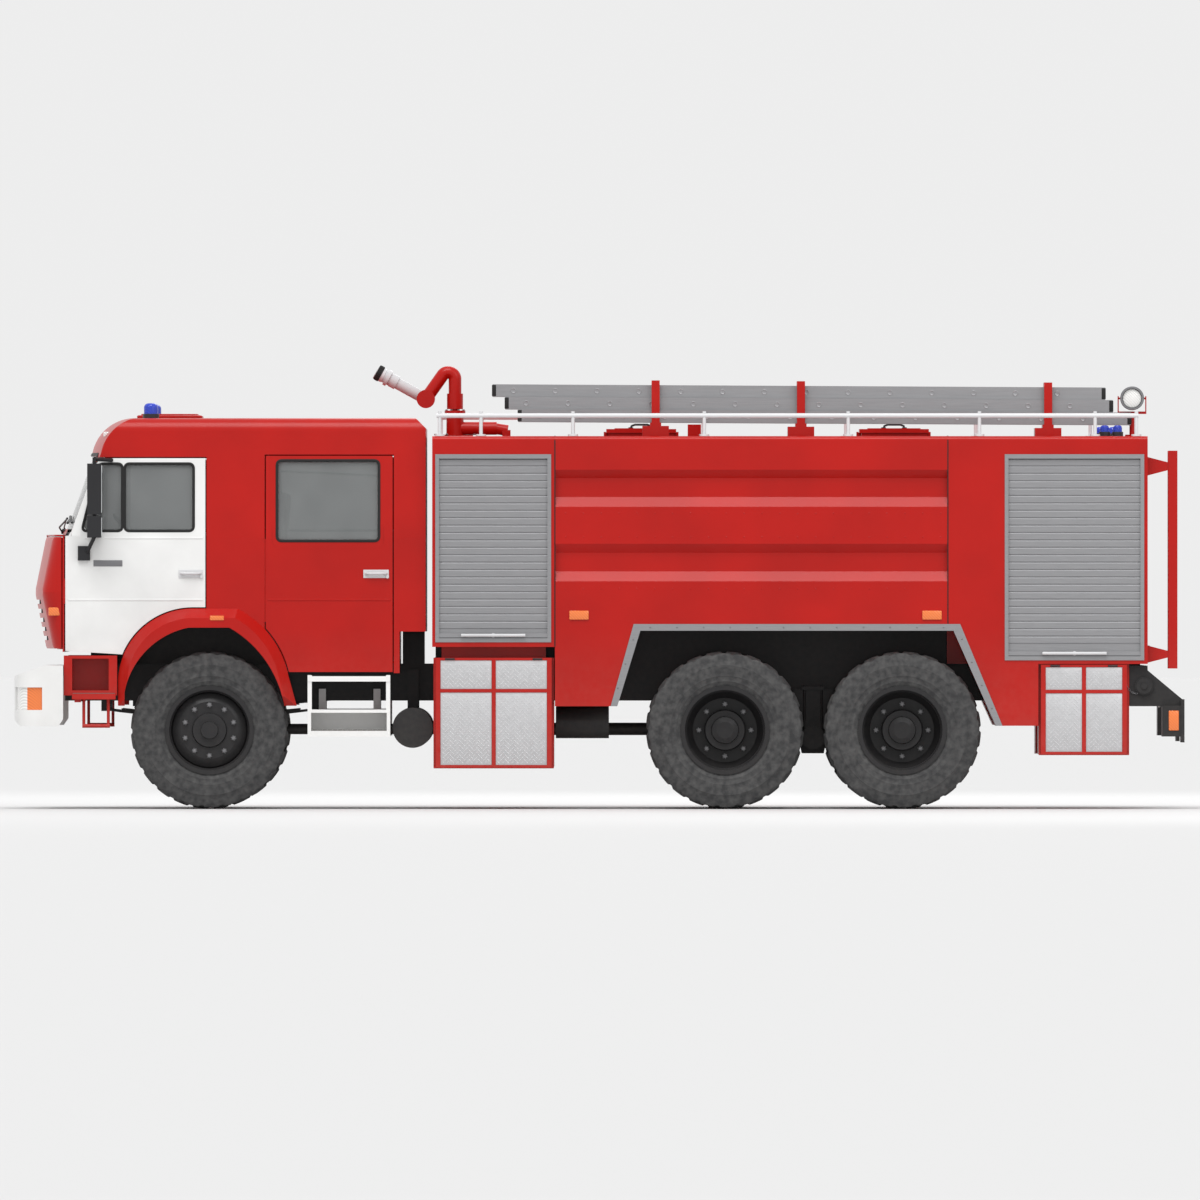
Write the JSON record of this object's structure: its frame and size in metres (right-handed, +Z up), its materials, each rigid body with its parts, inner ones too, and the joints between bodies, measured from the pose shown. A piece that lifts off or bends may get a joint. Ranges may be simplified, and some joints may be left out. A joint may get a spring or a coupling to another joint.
{
  "type": "fire engine",
  "caption": "Crew-cab fire engine with a roof water cannon, ladder stack, roller shutters and fold-down lower flaps.",
  "frame": {"origin": "On the ground under the middle of the whole vehicle, the centre of the bottom of its bounding box.", "axes": "-X is the front, +X the rear, -Y the driver's left side, +Z up."},
  "size_m": [8.4, 2.81, 3.1884],
  "materials": {
    "red_paint": "gloss",
    "white_paint": "gloss",
    "chassis_black": "satin",
    "cast_grey": "satin",
    "lamp_glass": "clear",
    "window_glass": "clear",
    "seat_fabric": "woven",
    "dash_plastic": "grained",
    "shutter_alloy": "anodised",
    "ladder_alloy": "brushed",
    "barrel_grey": "satin",
    "lamp_black": "satin",
    "tyre": "matt",
    "rim_black": "satin"
  },
  "bodies": {
    "root": {"arch_flares": "red_paint", "arch_trim": "shutter_alloy", "cab_floor": "chassis_black", "cab_front": "red_paint", "cab_roof": "red_paint", "cab_sides": "red_paint", "cab_steps": "red_paint", "cannon_base": "red_paint", "chassis_frame": "chassis_black", "dashboard": "dash_plastic", "driveline": "cast_grey", "front_axle": "chassis_black", "front_bumper": "white_paint", "front_cabinet": "red_paint", "lamps": "lamp_glass", "rear_axles": "chassis_black", "rear_bumper": "chassis_black", "rear_cabinet": "red_paint", "rear_ladder": "red_paint", "roller_shutters": "shutter_alloy", "roof_ladders": "ladder_alloy", "roof_rails": "red_paint", "seats": "seat_fabric", "tank_body": "red_paint", "windscreen": "window_glass"},
    "front_door_left": {"front_door_left": "white_paint", "front_glass_left": "window_glass", "mirrors_left": "dash_plastic"},
    "crew_door_left": {"crew_door_left": "red_paint", "crew_glass_left": "window_glass"},
    "front_flap_left": {"front_flap_left": "red_paint"},
    "rear_flap_left": {"rear_flap_left": "red_paint"},
    "knuckle_left": {"knuckle_left": "chassis_black"},
    "front_wheel_left": {"front_tyre_left": "tyre", "front_rim_left": "rim_black"},
    "middle_wheels_left": {"middle_tyres_left": "tyre", "middle_rims_left": "rim_black"},
    "rear_wheels_left": {"rear_tyres_left": "tyre", "rear_rims_left": "rim_black"},
    "front_door_right": {"front_door_right": "white_paint", "front_glass_right": "window_glass", "mirrors_right": "dash_plastic"},
    "crew_door_right": {"crew_door_right": "red_paint", "crew_glass_right": "window_glass"},
    "front_flap_right": {"front_flap_right": "red_paint"},
    "rear_flap_right": {"rear_flap_right": "red_paint"},
    "knuckle_right": {"knuckle_right": "chassis_black"},
    "front_wheel_right": {"front_tyre_right": "tyre", "front_rim_right": "rim_black"},
    "middle_wheels_right": {"middle_tyres_right": "tyre", "middle_rims_right": "rim_black"},
    "rear_wheels_right": {"rear_tyres_right": "tyre", "rear_rims_right": "rim_black"},
    "track_rod": {"track_rod": "chassis_black"},
    "front_panel": {"front_panel": "red_paint"},
    "front_hatch": {"front_hatch": "red_paint"},
    "rear_hatch": {"rear_hatch": "red_paint"},
    "cannon_arm": {"cannon_arm": "red_paint"},
    "cannon_barrel": {"cannon_barrel": "barrel_grey"},
    "searchlight": {"searchlight": "lamp_black"}
  },
  "joints": [
    {"name": "front_door_left_hinge", "type": "hinge", "parent": "root", "child": "front_door_left", "pos_m": [-3.822, -1.165, 1.55], "axis": [0, 0, -1], "range_deg": [0, 75]},
    {"name": "crew_door_left_hinge", "type": "hinge", "parent": "root", "child": "crew_door_left", "pos_m": [-2.386, -1.165, 1.9], "axis": [0, 0, -1], "range_deg": [0, 80]},
    {"name": "front_flap_left_hinge", "type": "hinge", "parent": "root", "child": "front_flap_left", "pos_m": [-0.7505, -1.204, 0.297], "axis": [1, 0, 0], "range_deg": [0, 90]},
    {"name": "rear_flap_left_hinge", "type": "hinge", "parent": "root", "child": "rear_flap_left", "pos_m": [3.4795, -1.204, 0.392], "axis": [1, 0, 0], "range_deg": [0, 90]},
    {"name": "steering_left", "type": "hinge", "parent": "root", "child": "knuckle_left", "pos_m": [-2.786, -0.965, 0.565], "axis": [0, 0, 1], "range_deg": [-30, 30]},
    {"name": "front_wheel_left_spin", "type": "hinge", "parent": "knuckle_left", "child": "front_wheel_left", "pos_m": [-2.786, -1.025, 0.565], "axis": [0, 1, 0], "continuous": true},
    {"name": "middle_wheels_left_spin", "type": "hinge", "parent": "root", "child": "middle_wheels_left", "pos_m": [0.909, -0.925, 0.565], "axis": [0, 1, 0], "continuous": true},
    {"name": "rear_wheels_left_spin", "type": "hinge", "parent": "root", "child": "rear_wheels_left", "pos_m": [2.179, -0.925, 0.565], "axis": [0, 1, 0], "continuous": true},
    {"name": "front_door_right_hinge", "type": "hinge", "parent": "root", "child": "front_door_right", "pos_m": [-3.822, 1.165, 1.55], "axis": [0, 0, 1], "range_deg": [0, 75]},
    {"name": "crew_door_right_hinge", "type": "hinge", "parent": "root", "child": "crew_door_right", "pos_m": [-2.386, 1.165, 1.9], "axis": [0, 0, 1], "range_deg": [0, 80]},
    {"name": "front_flap_right_hinge", "type": "hinge", "parent": "root", "child": "front_flap_right", "pos_m": [-0.7505, 1.204, 0.297], "axis": [-1, 0, 0], "range_deg": [0, 90]},
    {"name": "rear_flap_right_hinge", "type": "hinge", "parent": "root", "child": "rear_flap_right", "pos_m": [3.4795, 1.204, 0.392], "axis": [-1, 0, 0], "range_deg": [0, 90]},
    {"name": "steering_right", "type": "hinge", "parent": "root", "child": "knuckle_right", "pos_m": [-2.786, 0.965, 0.565], "axis": [0, 0, 1], "range_deg": [-30, 30]},
    {"name": "front_wheel_right_spin", "type": "hinge", "parent": "knuckle_right", "child": "front_wheel_right", "pos_m": [-2.786, 1.025, 0.565], "axis": [0, 1, 0], "continuous": true},
    {"name": "middle_wheels_right_spin", "type": "hinge", "parent": "root", "child": "middle_wheels_right", "pos_m": [0.909, 0.925, 0.565], "axis": [0, 1, 0], "continuous": true},
    {"name": "rear_wheels_right_spin", "type": "hinge", "parent": "root", "child": "rear_wheels_right", "pos_m": [2.179, 0.925, 0.565], "axis": [0, 1, 0], "continuous": true},
    {"name": "track_rod_pivot", "type": "hinge", "parent": "knuckle_left", "child": "track_rod", "pos_m": [-2.606, -0.965, 0.463], "axis": [0, 0, 1], "range_deg": [-30, 30]},
    {"name": "front_panel_hinge", "type": "hinge", "parent": "root", "child": "front_panel", "pos_m": [-3.965, 0, 1.954], "axis": [0, 1, 0], "range_deg": [0, 70]},
    {"name": "front_hatch_hinge", "type": "hinge", "parent": "root", "child": "front_hatch", "pos_m": [0.31, 0.706, 2.702], "axis": [-1, 0, 0], "range_deg": [0, 100]},
    {"name": "rear_hatch_hinge", "type": "hinge", "parent": "root", "child": "rear_hatch", "pos_m": [2.1325, 0.706, 2.702], "axis": [-1, 0, 0], "range_deg": [0, 100]},
    {"name": "cannon_turn", "type": "hinge", "parent": "root", "child": "cannon_arm", "pos_m": [-1.031, 0, 2.9], "axis": [0, 0, 1], "range_deg": [-105, 105]},
    {"name": "cannon_raise", "type": "hinge", "parent": "cannon_arm", "child": "cannon_barrel", "pos_m": [-1.241, 0.1, 2.945], "axis": [0, 1, 0], "range_deg": [-25, 50]},
    {"name": "searchlight_tilt", "type": "hinge", "parent": "root", "child": "searchlight", "pos_m": [3.828, -0.95, 2.944], "axis": [-1, 0, 0], "range_deg": [-15, 60]}
  ],
  "couplings": [
    {"joint": "steering_right", "follows": "steering_left", "ratio": 1},
    {"joint": "track_rod_pivot", "follows": "steering_left", "ratio": -1}
  ]
}
